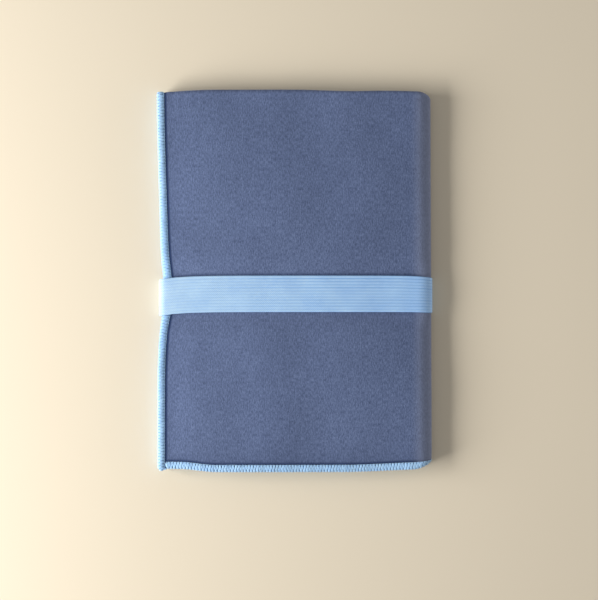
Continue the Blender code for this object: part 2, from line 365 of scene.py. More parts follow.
def settle(x, y, z):
    # the bundle lies on the floor, pressed by the band, with its edges a little out of true
    x, y = x + tipX, y + tipY
    back = tipX - x
    ends = smooth(*lie["slitOpenEnd"], y) + lie["slitFoldShare"] * smooth(*lie["slitFoldEnd"], y)
    close = lie["slitClose"] * ends * smooth(towel["foldDepth"], lie["slitBack"], back)
    close = close * np.maximum(loftAt(back) - towel["openLoft"], 0)
    z = z - close * np.clip(z / lie["slitBlend"], -1, 1)
    pair = towel["firstFold"] + halfCloth + towel["puff"] + towel["pairLoft"]
    half = loftAt(back) + pair + towel["shoulder"] * smooth(*towel["shoulderBack"], back)
    layer = np.clip(z / half, -1, 1)  # -1 at the bottom of the stack, 1 at its top
    share = np.clip((x - lie["foldPressFrom"]) / lie["foldPressReach"], 0, 1)
    thin = 1 - lie["foldPress"] * share ** lie["foldPressPower"]
    z, half, close = z * thin, half * thin, close * thin
    tip = smooth(towel["foldDepth"], 0, back)
    middle = lie["rest"] + half - close - lie["tipSag"] * tip
    below, above = underBand(x)
    away = np.abs(y - bandMiddle) - band["width"] / 2
    press = 1 - smooth(-band["pressIn"], band["pressFade"], away)
    z = (1 - press) * (middle + z) + press * ((below + above) / 2 + z * (above - below) / (2 * half))
    loose = (1 - press) * smooth(0, lie["swellClear"], z)
    z = z + lie["swell"] * loose * swell(x, y, z, *lie["swellLengths"], seed=11)
    x = x + drawnIn(x, y, layer)
    lean = lie["foldSideOut"] - lie["foldSideLean"] * np.clip(y / lie["endAt"], -1, 1)
    x = x + smooth(*lie["foldSide"], x) * lean
    y = y + openEndShift(x, y)
    return x, y + foldEndShift(x, y), z


def place(flat):
    # flat points, one to a row, to where they are on the folded towel
    u, v, w = flat[:, 0], flat[:, 1], flat[:, 2]
    y, height = roundFirstFold(u, v, w + nap(u, v))
    x, z = roundSecondFold(u, height)
    return np.stack(settle(x, y, z), axis=1)


def addObject(name, data):
    added = bpy.data.objects.new(name, data)
    bpy.context.scene.collection.objects.link(added)
    return added


def newMesh(name, points, faces, uv, finish):
    data = bpy.data.meshes.new(name)
    data.from_pydata([tuple(p) for p in points.tolist()], [], faces)
    layer = data.uv_layers.new(name="flat")
    corners = np.zeros(len(data.loops), np.int32)
    data.loops.foreach_get("vertex_index", corners)
    layer.data.foreach_set("uv", uv[corners].astype(np.float32).ravel())
    data.shade_smooth()
    data.validate()
    data.update()
    data.materials.append(finish)
    return addObject(name, data)


def addAttribute(piece, name, values):
    attribute = piece.data.attributes.new(name, "FLOAT", "POINT")
    attribute.data.foreach_set("value", np.ravel(values).astype(np.float32))


def newFinish(name):
    finish = bpy.data.materials.new(name)
    finish.use_nodes = True
    return finish, finish.node_tree, finish.node_tree.nodes["Principled BSDF"]


def addNode(tree, kind, settings=None, **inputs):
    node = tree.nodes.new(kind)
    for key, value in (settings or {}).items():
        setattr(node, key, value)
    for key, value in inputs.items():
        node.inputs[key.replace("_", " ")].default_value = value
    return node


def join(tree, source, output, target, socket):
    tree.links.new(source.outputs[output], target.inputs[socket])


def scaledMap(tree, scale):
    uvMap = addNode(tree, "ShaderNodeUVMap", {"uv_map": "flat"})
    mapping = addNode(tree, "ShaderNodeMapping")
    mapping.inputs["Scale"].default_value = (*scale, 1)
    join(tree, uvMap, "UV", mapping, "Vector")
    return mapping


def noiseOn(tree, scale, detail, rough=0.5):
    noise = addNode(tree, "ShaderNodeTexNoise", Scale=1.0, Detail=detail, Roughness=rough)
    join(tree, scaledMap(tree, scale), "Vector", noise, "Vector")
    return noise


def mixColour(tree, factor, first, second, blend="MIX"):
    mix = addNode(tree, "ShaderNodeMix", {"data_type": "RGBA", "blend_type": blend})
    for socket, value in ((0, factor), (6, first), (7, second)):
        if isinstance(value, tuple) and isinstance(value[0], bpy.types.Node):
            tree.links.new(value[0].outputs[value[1]], mix.inputs[socket])
        else:
            mix.inputs[socket].default_value = value
    return mix


def ramp(tree, source, output, low, high, first, second):
    node = addNode(tree, "ShaderNodeValToRGB")
    start, end = node.color_ramp.elements
    start.position, end.position = low, high
    start.color, end.color = (*first, 1), (*second, 1)
    join(tree, source, output, node, "Fac")
    return node
def addBump(tree, shader, source, output, strength, height):
    bump = addNode(tree, "ShaderNodeBump", Strength=strength, Distance=height)
    join(tree, source, output, bump, "Height")
    join(tree, bump, "Normal", shader, "Normal")


def addHeights(tree, first, share, second):
    # a share of the first pattern on top of the second
    total = addNode(tree, "ShaderNodeMath", {"operation": "MULTIPLY_ADD"})
    total.inputs[1].default_value = share
    join(tree, first, "Fac", total, 0)
    join(tree, second, "Fac", total, 2)
    return total


def waveOn(tree, scale, direction, distortion):
    wave = addNode(tree, "ShaderNodeTexWave", {"bands_direction": direction}, Scale=1.0,
                   Distortion=distortion, Detail=1.0)
    join(tree, scaledMap(tree, scale), "Vector", wave, "Vector")
    return wave


def readAttribute(tree, name):
    return addNode(tree, "ShaderNodeAttribute", {"attribute_name": name}), "Fac"


def setSockets(shader, values):
    for socket, value in values.items():
        shader.inputs[socket].default_value = value


# pattern scales are across and along the piece, in repeats to a metre
clothLook = {
    "dark": (0.070, 0.098, 0.189),
    "light": (0.157, 0.204, 0.352),
    "contrast": (0.365, 0.635),
    "streaks": (1150, 420),
    "streakRough": 0.72,
    "fibres": (2600, 1100),
    "fibreShare": 0.25,
    "fibreBump": 0.5,
    "broad": (22, 13),
    "patch": 0.16,
    "middling": (260, 90),
    "cloud": 0.22,
    "seamShade": (0.012, 0.028, 0.085),
    # painted light for the rounded edge of the second fold
    "foldRimLight": (0.31, 0.33, 0.42),
    "bump": 0.70,
    "bumpHeight": 0.45 * mm,
    "shader": {"Roughness": 0.95, "Specular IOR Level": 0.2, "Sheen Weight": 0.40,
               "Sheen Roughness": 0.45, "Sheen Tint": (0.72, 0.80, 1.0, 1)},
}


def makeClothFinish(look):
    finish, tree, shader = newFinish("microfibre_nap")
    streaks = noiseOn(tree, look["streaks"], 5.0, look["streakRough"])
    fibres = noiseOn(tree, look["fibres"], 2.0)
    broad = noiseOn(tree, look["broad"], 2.0)
    middling = noiseOn(tree, look["middling"], 2.0)
    pile = ramp(tree, streaks, "Fac", *look["contrast"], look["dark"], look["light"])
    speck = mixColour(tree, look["fibreShare"], (pile, "Color"), (fibres, "Fac"), "OVERLAY")
    patch = mixColour(tree, look["patch"], (speck, 2), (broad, "Fac"), "SOFT_LIGHT")
    cloud = mixColour(tree, look["cloud"], (patch, 2), (middling, "Fac"), "SOFT_LIGHT")
    colour = mixColour(tree, readAttribute(tree, "seamShade"), (cloud, 2), (*look["seamShade"], 1))
    # painted light along the second fold's rounded edge
    rimLit = mixColour(tree, readAttribute(tree, "foldRimLight"), (colour, 2), (*look["foldRimLight"], 1))
    join(tree, rimLit, 2, shader, "Base Color")
    height = addHeights(tree, fibres, look["fibreBump"], streaks)
    addBump(tree, shader, height, "Value", look["bump"], look["bumpHeight"])
    setSockets(shader, look["shader"])
    return finish


threadLook = {
    "looper": ((0.46, 0.70, 0.94), (0.33, 0.55, 0.84)),  # light and dark
    "needle": ((0.55, 0.76, 0.97), (0.36, 0.57, 0.85)),
    "between": (0.21, 0.39, 0.67),  # painted shade: the thread colour where it lies deep in the seam, between the strands
    "mottle": (160, 0.7),
    "mottleRange": (0.25, 0.75),
    "ply": (1300, 1.6),
    "plyShare": 0.18,
    "bump": 0.5,
    "bumpHeight": 0.10 * mm,
    "shader": {"Roughness": 0.70, "Sheen Weight": 0.15, "Sheen Roughness": 0.4},
}


def makeThreadFinish(name, light, dark):
    finish, tree, shader = newFinish(name)
    ply = waveOn(tree, threadLook["ply"], "DIAGONAL", 1.2)
    mottle = noiseOn(tree, threadLook["mottle"], 2.0)
    base = ramp(tree, mottle, "Fac", *threadLook["mottleRange"], dark, light)
    colour = mixColour(tree, threadLook["plyShare"], (base, "Color"), (ply, "Fac"), "OVERLAY")
    # painted shade: the bed and the seam beside the band are drawn in a darker thread colour
    shaded = mixColour(tree, readAttribute(tree, "threadShade"), (colour, 2), (*threadLook["between"], 1))
    join(tree, shaded, 2, shader, "Base Color")
    addBump(tree, shader, ply, "Fac", threadLook["bump"], threadLook["bumpHeight"])
    setSockets(shader, threadLook["shader"])
    return finish


bandLook = {
    "light": (0.45, 0.695, 1.0),
    "dark": (0.37, 0.605, 0.95),
    "tone": (60, 70),
    "toneRange": (0.3, 0.7),
    "loose": (0.97, 0.88, 0.775),  # painted light: the band's left end, which faces the window, is tinted this much paler
    # painted shade in the grooves between the ribs, weaker towards the left end
    "grooveShade": (0.18, 0.37, 0.74),
    "grooveSharp": 12,
    "grooveDepth": (0.5, 0.95),  # painted shade is a little deeper in some grooves than in others
    "grooveLeast": 0.4,
    "grooveFrom": (-75 * mm, 30 * mm),
    # painted shade: the band's right end, which turns away from the window, is drawn darker
    "rightShade": 0.12,
    "rightShadeAt": (50 * mm, 92 * mm),
    "pick": 0.74 * mm,
    "pickShare": 0.14,
    "pickBump": 0.6,
    "crossPicks": 3.1,
    "crossAlong": 40,
    "fleck": (500, 1400),
    "fleckShare": 0.20,
    "bump": 0.35,
    "bumpHeight": 0.12 * mm,
    "shader": {"Roughness": 0.68, "Specular IOR Level": 0.22, "Sheen Weight": 0.14},
}


def makeBandFinish(look):
    finish, tree, shader = newFinish("woven_elastic")
    picks = 1 / look["pick"]
    weave = addNode(tree, "ShaderNodeTexChecker", Scale=1.0)
    join(tree, scaledMap(tree, (picks, picks)), "Vector", weave, "Vector")
    cross = waveOn(tree, (picks / look["crossPicks"], look["crossAlong"]), "X", 0.6)
    fleck = noiseOn(tree, look["fleck"], 2.0)
    tone = noiseOn(tree, look["tone"], 2.0)
    base = ramp(tree, tone, "Fac", *look["toneRange"], look["dark"], look["light"])
    dots = mixColour(tree, look["pickShare"], (base, "Color"), (weave, "Fac"), "OVERLAY")
    flecked = mixColour(tree, look["fleckShare"], (dots, 2), (fleck, "Fac"), "OVERLAY")
    # painted light: the band is tinted paler towards its left end, which faces the window
    pull = ramp(tree, *readAttribute(tree, "litEndRamp"), 0.0, 1.0, look["loose"], (1, 1, 1))
    litColour = mixColour(tree, 1.0, (flecked, 2), (pull, "Color"), "MULTIPLY")
    colour = mixColour(tree, readAttribute(tree, "grooveShade"), (litColour, 2), (*look["grooveShade"], 1))
    join(tree, colour, 2, shader, "Base Color")
    height = addHeights(tree, weave, look["pickBump"], cross)
    addBump(tree, shader, height, "Value", look["bump"], look["bumpHeight"])
    setSockets(shader, look["shader"])
    return finish


labelLook = {
    "dark": (0.72, 0.72, 0.70),
    "light": (0.86, 0.86, 0.84),
    "floats": (300, 900),
    "bump": 0.2,
    "bumpHeight": 0.05 * mm,
    "shader": {"Roughness": 0.38},
}


def makeLabelFinish(look):
    finish, tree, shader = newFinish("satin_tape")
    floats = waveOn(tree, look["floats"], "Y", 0.8)
    colour = ramp(tree, floats, "Fac", 0.0, 1.0, look["dark"], look["light"])
    join(tree, colour, "Color", shader, "Base Color")
    addBump(tree, shader, floats, "Fac", look["bump"], look["bumpHeight"])
    setSockets(shader, look["shader"])
    return finish


def spacedLines(low, high, coarse, fineZones):
    # grid lines that crowd together in each zone: (middle, half width, spacing)
    fine = np.linspace(low, high, 6000)
    spacing = np.full_like(fine, coarse)
    for middle, half, close in fineZones:
        near = 1 - smooth(half, half + 5 * close + 2 * mm, np.abs(fine - middle))
        spacing = np.minimum(spacing, coarse + (close - coarse) * near)
    steps = np.concatenate([[0], np.cumsum(np.diff(fine) / ((spacing[1:] + spacing[:-1]) / 2))])
    count = int(round(steps[-1]))
    return np.interp(np.linspace(0, steps[-1], count + 1), steps, fine)


def pathNormals(path):
    tangent = np.gradient(path, axis=0)
    tangent /= np.linalg.norm(tangent, axis=1)[:, None]
    return np.stack([tangent[:, 1], -tangent[:, 0]], axis=1)


def pathLengths(path):
    return np.concatenate([[0], np.cumsum(np.linalg.norm(np.diff(path, axis=0), axis=1))])


def gridFaces(rows, columns, offset, flip):
    index = np.arange(rows * columns).reshape(rows, columns) + offset
    quads = np.stack([index[:-1, :-1], index[1:, :-1], index[1:, 1:], index[:-1, 1:]], axis=-1)
    quads = quads.reshape(-1, 4)
    return (quads[:, ::-1] if flip else quads).tolist()


clothGrid = {
    "across": 3.1 * mm,  # spacing of the mesh lines
    "along": 3.2 * mm,
    "secondFold": (15 * mm, 1.0 * mm),  # half width of a closer zone, and its spacing
    "firstFold": (2.5 * mm, 0.5 * mm),
    "edge": (9 * mm, 1.1 * mm),
    "band": (24 * mm, 2.0 * mm),
    "bandEdge": (2 * mm, 0.8 * mm),
}

marks = {
    "beside": 0.34,  # painted shade: the cloth is darker beside a seam, as the seam shades it
    "besideReach": 5 * mm,
    "plainSide": 1.45 * mm,  # painted shadow: the dark line beside a side seam and an end seam
    "plainEnd": 0.95 * mm,
    "lineEdge": 0.9 * mm,
    "rimLight": 0.44,  # painted light: along the second fold the rounded edge is drawn lighter and warmer, where light catches it
    "rimLightAt": (3 * mm, 16 * mm),
    "crushedNapShade": 0.07,  # how much darker the cloth is under the band and just past its edges: partly its crushed nap, partly painted shade
    "crushedNapShadeReach": 2.5 * mm,
    "edgeShadow": 0.50,  # painted shadow along the band's upper edge
    "edgeShadowAt": 0.7 * mm,
    "edgeShadowReach": 1.0 * mm,
    "lowEdgeShadow": 0.3,  # and its share along the lower edge
}


def clothLines():
    hidden = towel["hiddenEdge"]
    lowU = towel["crossShift"] - towel["width"] / 2 + hidden
    highU = towel["crossShift"] + towel["width"] / 2 - hidden
    lowV = towel["endShift"] - towel["length"] / 2 + hidden
    highV = towel["endShift"] + towel["length"] / 2 - hidden
    bandV = tipY - bandMiddle
    bandEdges = [way * (bandV + end * band["width"] / 2) for way in (-1, 1) for end in (-1, 1)]
    zones = [(0, *clothGrid["secondFold"])] + [(u, *clothGrid["edge"]) for u in (lowU, highU)]
    us = spacedLines(lowU, highU, clothGrid["across"], zones)
    zones = [(0, *clothGrid["firstFold"])] + [(v, *clothGrid["edge"]) for v in (lowV, highV)]
    zones += [(v, *clothGrid["band"]) for v in (bandV, -bandV)]
    zones += [(v, *clothGrid["bandEdge"]) for v in bandEdges]
    return us, spacedLines(lowV, highV, clothGrid["along"], zones)


def markCloth(cloth, u, v, outside):
    # outside is where the points of the outer face are on the folded towel
    across, along = edgeDistance(u, v)
    # painted shade beside the seams, drawn as a darker cloth colour
    beyond = np.maximum(np.minimum(across, along) - seam["needleFrom"], 0)
    shade = marks["beside"] * np.exp(-beyond / marks["besideReach"])
    for distance, plain in ((across, marks["plainSide"]), (along, marks["plainEnd"])):
        past = distance - seam["needleFrom"]
        line = np.where(past < plain, 1.0, bell(past - plain, marks["lineEdge"]))
        shade = np.maximum(shade, line)
    # painted light along the second fold
    rimLight = marks["rimLight"] * (1 - smooth(*marks["rimLightAt"], np.abs(u)))
    up, past = fromBand(outside)
    # partly crushed nap and partly painted shade, under the band and just past its edges
    crushedNapShade = marks["crushedNapShade"] * (1 - smooth(0, marks["crushedNapShadeReach"], past))
    # painted shadow along the band's edges, stronger along the upper one
    edgeShadow = marks["edgeShadow"] * bell(past - marks["edgeShadowAt"], marks["edgeShadowReach"])
    edgeShadow = edgeShadow * np.where(up > 0, 1, marks["lowEdgeShadow"])
    outerShade = np.maximum(shade, np.maximum(crushedNapShade, edgeShadow))
    addAttribute(cloth, "seamShade", np.concatenate([outerShade, shade]))
    addAttribute(cloth, "foldRimLight", np.tile(rimLight, 2))


def makeCloth(finish):
    us, vs = clothLines()
    u, v = np.meshgrid(us, vs, indexing="ij")
    u, v = u.ravel(), v.ravel()
    nearest = np.minimum(*edgeDistance(u, v))
    squeeze = bell(nearest - seam["needleFrom"], seam["squeezeReach"]) * seam["squeeze"]
    squeeze = np.clip(squeeze + (nearest < seam["width"]), 0, 1)
    half = halfCloth - (towel["thickness"] - towel["rawThickness"]) / 2 * squeeze
    above = np.stack([u, v, half], axis=1)
    below = np.stack([u, v, -half], axis=1)
    points = np.concatenate([place(above), place(below)])
    rows, columns = len(us), len(vs)
    count = rows * columns
    faces = gridFaces(rows, columns, 0, False) + gridFaces(rows, columns, count, True)
    index = np.arange(count).reshape(rows, columns)
    rim = np.concatenate([index[:, 0], index[-1, 1:], index[-2::-1, -1], index[0, -2:0:-1]])
    following = np.roll(rim, -1)
    faces += np.stack([rim, rim + count, following + count, following], axis=1).tolist()
    uv = np.concatenate([np.stack([u, v], axis=1)] * 2)
    cloth = newMesh("cloth_folded_in_four", points, faces, uv, finish)
    markCloth(cloth, u, v, points[:count])
    print("cloth:", rows, "by", columns, "lines,", len(faces) * 2, "triangles")
    return cloth


def onSeam(side, across, along, w):
    # from places on a seam to the folded towel: across is counted inwards from the towel's edge
    across, along, w = (a.ravel() for a in np.broadcast_arrays(across, along, w))
    turn, reach = side["turn"], side["reach"]
    end = smooth(side["half"] - side["taper"], side["half"], np.abs(along))
    across = across + seam["taperIn"] * end * (seam["width"] / 2 - across)
    w = w * (1 - seam["taperThin"] * end)
    outX, outY = round(math.cos(turn)), round(math.sin(turn))
    out = reach - across
    u = towel["crossShift"] + outX * out - outY * along
    v = towel["endShift"] + outY * out + outX * along
    return place(np.stack([u, v, w], axis=1))


def makeBed(side):
    # the bulk of the looper threads, a channel round the raw edge
    bed, slot, depth = seam["bedHalf"], seam["slotHalf"], seam["slotDepth"]
    width = seam["bedWidth"]
    # across from the edge, and share of the bed's half height
    outer = [(width, 0.52), (width - 0.3 * mm, 0.68), (0.74 * width, 0.90), (0.52 * width, 1.0),
             (0.32 * width, 0.96), (0.15 * width, 0.76), (0.04 * width, 0.42), (0.012 * width, 0.0)]
    outline = [(c, k * bed) for c, k in outer] + [(c, -k * bed) for c, k in outer[-2::-1]]
    outline += [(width, -slot), (depth, -slot), (depth, slot), (width, slot)]
    outline = np.array(outline)
    along = spacedLines(-side["half"], side["half"], seam["ringGap"], side["zones"])
    rings = len(along)
    points = onSeam(side, outline[:, 0], along[:, None], outline[:, 1])
    faces = tubeFaces(rings, len(outline), flip=True)
    uv = np.stack([np.repeat(along, len(outline)), np.tile(outline[:, 1] / bed, rings)], axis=1)
    return points, faces, uv


def tubeFaces(rings, sides, offset=0, flip=False):
    index = np.arange(rings * sides).reshape(rings, sides) + offset
    turned = np.roll(index, -1, axis=1)
    quads = np.stack([index[:-1], index[1:], turned[1:], turned[:-1]], axis=-1).reshape(-1, 4)
    faces = quads.tolist() + [index[0].tolist(), index[-1][::-1].tolist()]
    return [face[::-1] for face in faces] if flip else faces


def strandShape():
    # one strand, from the needle line over the top, round the edge and back underneath:
    # across, share of the way from needle line to edge, height, share of full width
    bed, half = seam["bedHalf"], seam["strandHalfDepth"]
    width = seam["width"]
    top = [(width + 0.1 * mm, 0.0, 0.40 * bed, 0.50), (width - 0.45 * mm, 0.10, 0.78 * bed, 0.80),
           (0.72 * width, 0.32, 0.97 * bed + half, 1.0), (0.40 * width, 0.66, bed + half, 1.0),
           (0.13 * width, 0.92, 0.78 * bed + 0.4 * half, 0.92), (-0.1 * mm, 1.0, 0.0, 0.80)]
    return np.array(top + [(across, share, -high, wide) for across, share, high, wide in top[-2::-1]])


def makeStrands(side, seed):
    # a stitch has two strands, which nearly meet at the edge, and at the needle line each lies
    # beside a strand of the next stitch
    path = strandShape()
    normal = pathNormals(path[:, [0, 2]])
    # round the strand: along the seam, and off the cloth
    section = np.array([(-1.0, -0.1), (-0.55, 0.85), (0.55, 0.85), (1.0, -0.1), (0.0, -0.7)])
    stitches = int(round(2 * side["half"] / seam["pitch"]))
    pitch = 2 * side["half"] / stitches
    pick = np.random.default_rng(seed)
    starts = np.repeat(-side["half"] + (np.arange(stitches) + seam["strandStart"]) * pitch, 2)
    starts = starts + pick.normal(0, seam["unevenPlace"], len(starts)) * pitch
    fullness = 1 + pick.normal(0, seam["unevenWidth"], len(starts))
    inner = np.tile([seam["parting"], 1 - seam["parting"]], stitches)
    outer = np.tile([0.5 - seam["parting"], 0.5 + seam["parting"]], stitches) + seam["slant"]
    lean = inner[:, None] + (outer - inner)[:, None] * path[:, 1]
    off = section[:, 1] * seam["strandHalfDepth"]
    across = path[:, :1] + normal[:, :1] * off
    w = path[:, 2:3] + normal[:, 1:] * off
    spread = path[:, 3:] * section[:, 0] * seam["strandHalfWidth"]
    along = (starts[:, None] + lean * pitch)[:, :, None] + spread[None] * fullness[:, None, None]
    along = np.clip(along, -side["half"], side["half"])
    points = onSeam(side, across, along, w)
    faces = []
    for strand in range(2 * stitches):
        faces += tubeFaces(len(path), len(section), strand * len(path) * len(section))
    length = pathLengths(path[:, [0, 2]])
    uvAlong = np.broadcast_to(length[None, :, None], along.shape)
    uvAlong = uvAlong + starts[:, None, None] * seam["mottleShift"]
    uvRound = np.broadcast_to(np.arange(len(section)) / len(section), along.shape)
    return points, faces, np.stack([uvAlong.ravel(), uvRound.ravel()], axis=1)


def makeNeedleStitches(side, seed, name, finish):
    # a row of short stitches along the inner edge of the seam
    around, turned = 5, 0.3
    turn = np.arange(around) * 2 * math.pi / around + turned
    section = np.stack([np.cos(turn), np.sin(turn)], axis=1)
    # along the seam in pitches, then height and thickness in radii
    path = np.array([(-0.31, -0.6, 0.45), (-0.16, 0.35, 1.0), (0.16, 0.35, 1.0), (0.31, -0.6, 0.45)])
    count = int(round(2 * side["half"] / seam["pitch"]))
    pick = np.random.default_rng(seed)
    middles = -side["half"] + (np.arange(count) + 0.5) * 2 * side["half"] / count
    radius = seam["needleRadius"]
    across = seam["needleFrom"] + section[:, 0] * radius * path[:, 2:3]
    across = across[None] + pick.normal(0, seam["needleWander"], count)[:, None, None]
    height = 0.5 + path[:, 1:2] + section[:, 1] * path[:, 2:3]
    w = towel["rawThickness"] / 2 + radius * height
    along = middles[:, None, None] + path[:, 0][None, :, None] * seam["pitch"]
    points = onSeam(side, across, along, w)
    faces = []
    for i in range(count):
        faces += tubeFaces(len(path), around, i * len(path) * around, flip=True)
    uvRound = np.broadcast_to(np.arange(around) / around, across.shape)
    uv = np.stack([np.broadcast_to(along, across.shape).ravel(), uvRound.ravel()], axis=1)
    return newMesh(name, points, faces, uv, finish)


def makeSeam(name, side, seed, threads, needle):
    bedPoints, bedFaces, bedUv = makeBed(side)
    points, faces, uv = makeStrands(side, seed)
    shifted = [[i + len(bedPoints) for i in face] for face in faces]
    allPoints, allUv = np.concatenate([bedPoints, points]), np.concatenate([bedUv, uv])
    wraps = newMesh(f"{name}_overlock_stitches", allPoints, bedFaces + shifted, allUv, threads)
    # painted shade: the bed is drawn darker than the strands, and the seam threads darker near the
    # band
    bandShade = band["threadShadeNearBand"] * (1 - smooth(0, band["threadShadeReach"], fromBand(points)[1]))
    addAttribute(wraps, "threadShade", np.concatenate([np.full(len(bedPoints), seam["bedDeep"]), bandShade]))
    row = makeNeedleStitches(side, seed + 50, f"{name}_needle_stitches", needle)
    counts = [len(piece.data.polygons) for piece in (wraps, row)]
    print(f"{name}:", counts[0], "faces in the wraps,", counts[1], "in the row")
    return wraps, row


def bend(centreX, centreZ, halfX, halfZ, start, end):
    turn = np.radians(np.linspace(start, end, band["bendSteps"]))
    cos, sin = np.cos(turn), np.sin(turn)
    power = 2 / band["bendPower"]
    x = centreX + halfX * np.sign(cos) * np.abs(cos) ** power
    z = centreZ + halfZ * np.sign(sin) * np.abs(sin) ** power
    return list(zip(x, z))


def bandLine():
    # the middle of the band's thickness, from the lap's lower end round to its upper one
    half = band["thickness"] / 2
    near = 1 * mm  # the straight runs stop short of the bends
    low = band["floor"] + half
    right = bandHigh.x - half + band["rightOut"]
    left = bandLow.x + half + band["leftIn"]
    rightStart, leftStart = right - band["rightRound"], left + band["leftRound"]
    topRight = underBand(rightStart)[1] + band["clearance"] + half
    topLeft = underBand(leftStart)[1] + band["clearance"] + half
    points = [(x, low) for x in np.linspace(-band["lap"] / 2, rightStart - near, 34)]
    midRight = low + (topRight - low) * band["rightMiddle"]
    points += bend(rightStart, midRight, right - rightStart, midRight - low, -90, 0)[:-1]
    points += bend(rightStart, midRight, right - rightStart, topRight - midRight, 0, 90)
    top = np.linspace(rightStart - near, leftStart + near, 74)
    points += [(x, underBand(x)[1] + band["clearance"] + half) for x in top]
    midLeft = (low + topLeft) / 2
    points += bend(leftStart, midLeft, leftStart - left, topLeft - midLeft, 90, 180)[:-1]
    points += bend(leftStart, midLeft, leftStart - left, midLeft - low, 180, 270)
    step = -band["lap"] / 2 - band["stepClear"]
    points += [(x, low) for x in np.linspace(leftStart + 2 * near, step - band["joggle"] - near, 26)]
    rise = band["thickness"] + band["lapGap"]
    for share in np.linspace(0, 1, 8):
        points.append((step - band["joggle"] * (1 - share), low + rise * smooth(0, 1, share)))
    points += [(x, low + rise) for x in np.linspace(step + band["stepClear"], band["lap"] / 2, 10)]
    return np.array(points)


def markBand(strap, shares, sharp, x):
    # painted shade in the rib grooves, fading towards the left end, and over the right end of the band
    uneven = np.random.default_rng(31).uniform(*bandLook["grooveDepth"], band["ribs"] + 1)
    number = np.rint((shares + 1) / 2 * band["ribs"]).astype(int)
    grooveShade = uneven[number] * sharp ** bandLook["grooveSharp"]
    grooveShade = np.tile(np.concatenate([grooveShade, grooveShade[::-1]]), (len(x), 1))
    least = bandLook["grooveLeast"]
    grooveShade = grooveShade * (least + (1 - least) * smooth(*bandLook["grooveFrom"], x))[:, None]
    rightShade = bandLook["rightShade"] * smooth(*bandLook["rightShadeAt"], x)
    grooveShade = np.maximum(grooveShade, rightShade[:, None])
    addAttribute(strap, "grooveShade", grooveShade)
    # painted light: 0 at the band's left end, which is tinted palest, to 1 at its right end
    litEndRamp = (x - bandLow.x) / (bandHigh.x - bandLow.x)
    addAttribute(strap, "litEndRamp", np.repeat(litEndRamp, grooveShade.shape[1]))


def makeBand(finish):
    line = bandLine()
    lengths = pathLengths(line)
    cut = lengths[-1]
    stations = np.linspace(0, cut, int(cut / band["ringGap"]))
    line = np.stack([np.interp(stations, lengths, line[:, i]) for i in (0, 1)], axis=1)
    line[1:-1] = (line[:-2] + 2 * line[1:-1] + line[2:]) / 4
    outward = pathNormals(line)
    # shares run from -1 to 1 across the band, and sharp is 1 in the bottom of a groove
    shares = np.linspace(-1, 1, band["ribs"] * band["ribLines"] + 1)
    sharp = np.abs(np.cos((shares + 1) * math.pi * band["ribs"] / 2))
    edge = 1 - smooth(*band["edgeRound"], np.abs(shares)) * band["edgeThin"]
    face = band["thickness"] / 2 * edge - band["ribDepth"] * sharp ** band["ribSharp"]
    offsets = np.concatenate([face, -face[::-1]])
    spans = np.concatenate([shares, shares[::-1]]) * band["width"] / 2
    x, z = line[:, 0], line[:, 1]
    narrow = 1 - band["foldNarrow"] * np.exp(-(bandHigh.x - x) / band["foldDropReach"])
    px = x[:, None] + outward[:, :1] * offsets
    pz = z[:, None] + outward[:, 1:] * offsets
    py = bandMiddle + bandShift(x)[:, None] + spans[None] * narrow[:, None]
    points = np.stack([px.ravel(), py.ravel(), pz.ravel()], axis=1)
    faces = tubeFaces(len(line), len(offsets), flip=True)
    uv = np.stack([np.repeat(stations, len(offsets)), np.tile(spans, len(line))], axis=1)
    strap = newMesh("ribbed_elastic_band", points, faces, uv, finish)
    markBand(strap, shares, sharp, x)
    print("band:", len(faces) * 2, "triangles, cut length", round(cut / mm), "mm")
    return strap, cut


zigzag = {
    "edgeGap": 1.6 * mm,
    "fromLapEnd": 3 * mm,
    "pitch": 1.5 * mm,
    "reach": 1.1 * mm,
    "radius": 0.15 * mm,
    "stand": 0.3,  # how far a row stands off the band, in radii
    "stitchLength": 1.7,  # in pitches
    "mottleShift": 0.01,
    "sides": 6,
    # share of the way along a stitch, then height and thickness in radii
    "path": ((0.02, -0.6, 0.6), (0.15, 0.3, 1), (0.85, 0.3, 1), (0.98, -0.6, 0.6)),
}


def makeBandStitches(name, x, finish):
    # zigzag through both layers of the lap: one row above, one below
    room = band["width"] / 2 - zigzag["edgeGap"]
    pitch, reach, radius = zigzag["pitch"], zigzag["reach"], zigzag["radius"]
    count = int(2 * room / pitch)
    spokes, rings = zigzag["sides"], len(zigzag["path"])
    top = band["floor"] + 2 * band["thickness"] + band["lapGap"]
    points, faces, uv = [], [], []
    for up, level in ((1, top), (-1, band["floor"])):
        level = level + up * zigzag["stand"] * radius
        for step in range(count):
            way = 1 if step % 2 else -1
            start = Vector((x + way * reach, bandMiddle - room + step * pitch, level))
            end = Vector((x - way * reach, start.y + pitch, level))
            run = (end - start).normalized()
            sideways = Vector((run.y, -run.x, 0))
            for share, lift, thick in zigzag["path"]:
                centre = start.lerp(end, share) + Vector((0, 0, up * lift * radius))
                for spoke in range(spokes):
                    angle = spoke * 2 * math.pi / spokes
                    offset = sideways * math.cos(angle) * radius * thick
                    offset.z += math.sin(angle) * radius * thick
                    points.append(centre + offset)
                    along = share * pitch * zigzag["stitchLength"] + step * zigzag["mottleShift"]
                    uv.append((along, spoke / spokes))
            faces += tubeFaces(rings, spokes, len(points) - rings * spokes)
    return newMesh(name, np.array([tuple(p) for p in points]), faces, np.array(uv), finish)


label = {
    "width": 20 * mm,
    "length": 34 * mm,
    "fromFold": 100 * mm,
    "stitchRadii": 2.2,  # it starts this far in from the stitches
    "fromStitches": 0.2 * mm,  # and this much more
    "above": 0.12 * mm,  # over the nap
    "halfGap": 0.14 * mm,
    "ply": 0.14 * mm,
    "curl": 0.10 * mm,
    "curlFrom": (6 * mm, 30 * mm),
    "curlWave": 3.0,
    "curlStart": 0.6,
}


